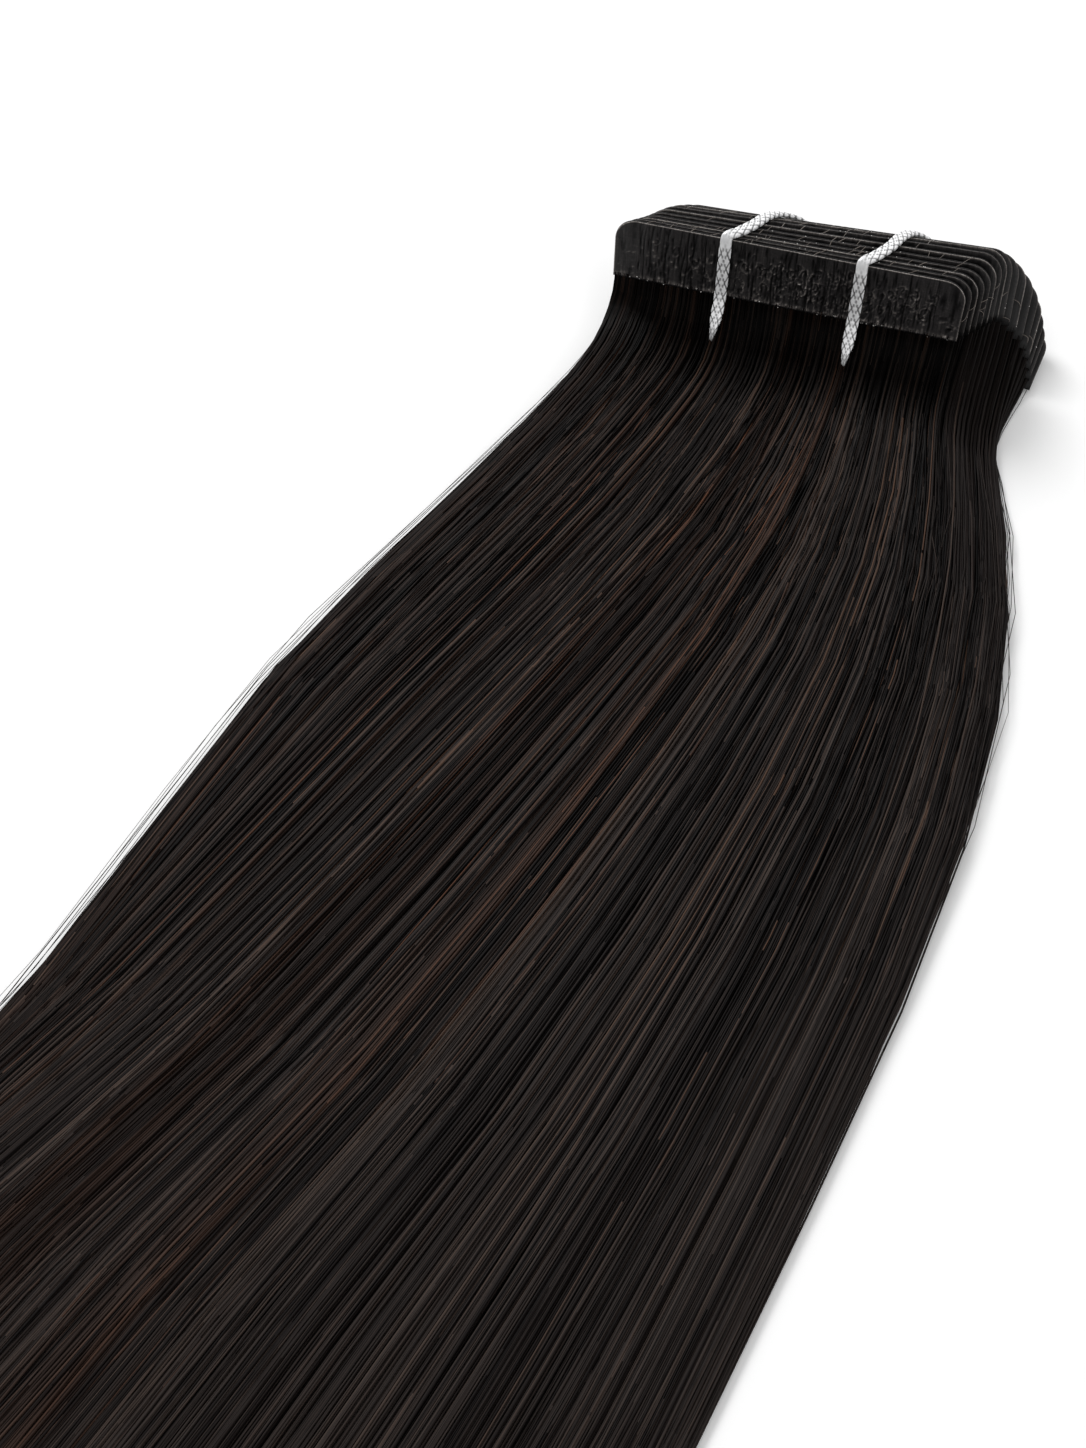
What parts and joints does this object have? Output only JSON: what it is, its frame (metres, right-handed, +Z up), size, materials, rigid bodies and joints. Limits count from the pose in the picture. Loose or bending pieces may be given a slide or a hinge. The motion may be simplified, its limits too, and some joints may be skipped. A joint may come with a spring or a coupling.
{
  "type": "tape-in hair extension bundle",
  "caption": "Tied bundle of tape-in hair extensions: a fan of thin tape tabs with straight dark hair lying in one flat sheaf, held by silver braided ties.",
  "frame": {"origin": "on the resting surface, under the middle of the front tab's lower edge", "axes": "+X along the tabs, +Y from the hair's tips to its roots, +Z up"},
  "size_m": [0.1662, 0.4113, 0.0166],
  "materials": {
    "tape": "satin charcoal film over dark hair",
    "hair": "straight satin off-black and dark brown hair",
    "silver_braid": "bright flat braid of metallised thread"
  },
  "bodies": {
    "root": {"tape_tab_01": "tape", "tape_tab_02": "tape", "tape_tab_03": "tape", "tape_tab_04": "tape", "tape_tab_05": "tape", "tape_tab_06": "tape", "tape_tab_07": "tape", "tape_tab_08": "tape", "tape_tab_09": "tape", "tape_tab_10": "tape", "tape_tab_11": "tape", "tape_tab_12": "tape", "tape_tab_13": "tape", "tape_tab_14": "tape", "tape_tab_15": "tape", "tape_tab_16": "tape", "tape_tab_17": "tape", "hair_sheaf": "hair", "tie_left": "silver_braid", "tie_right": "silver_braid"}
  },
  "joints": []
}
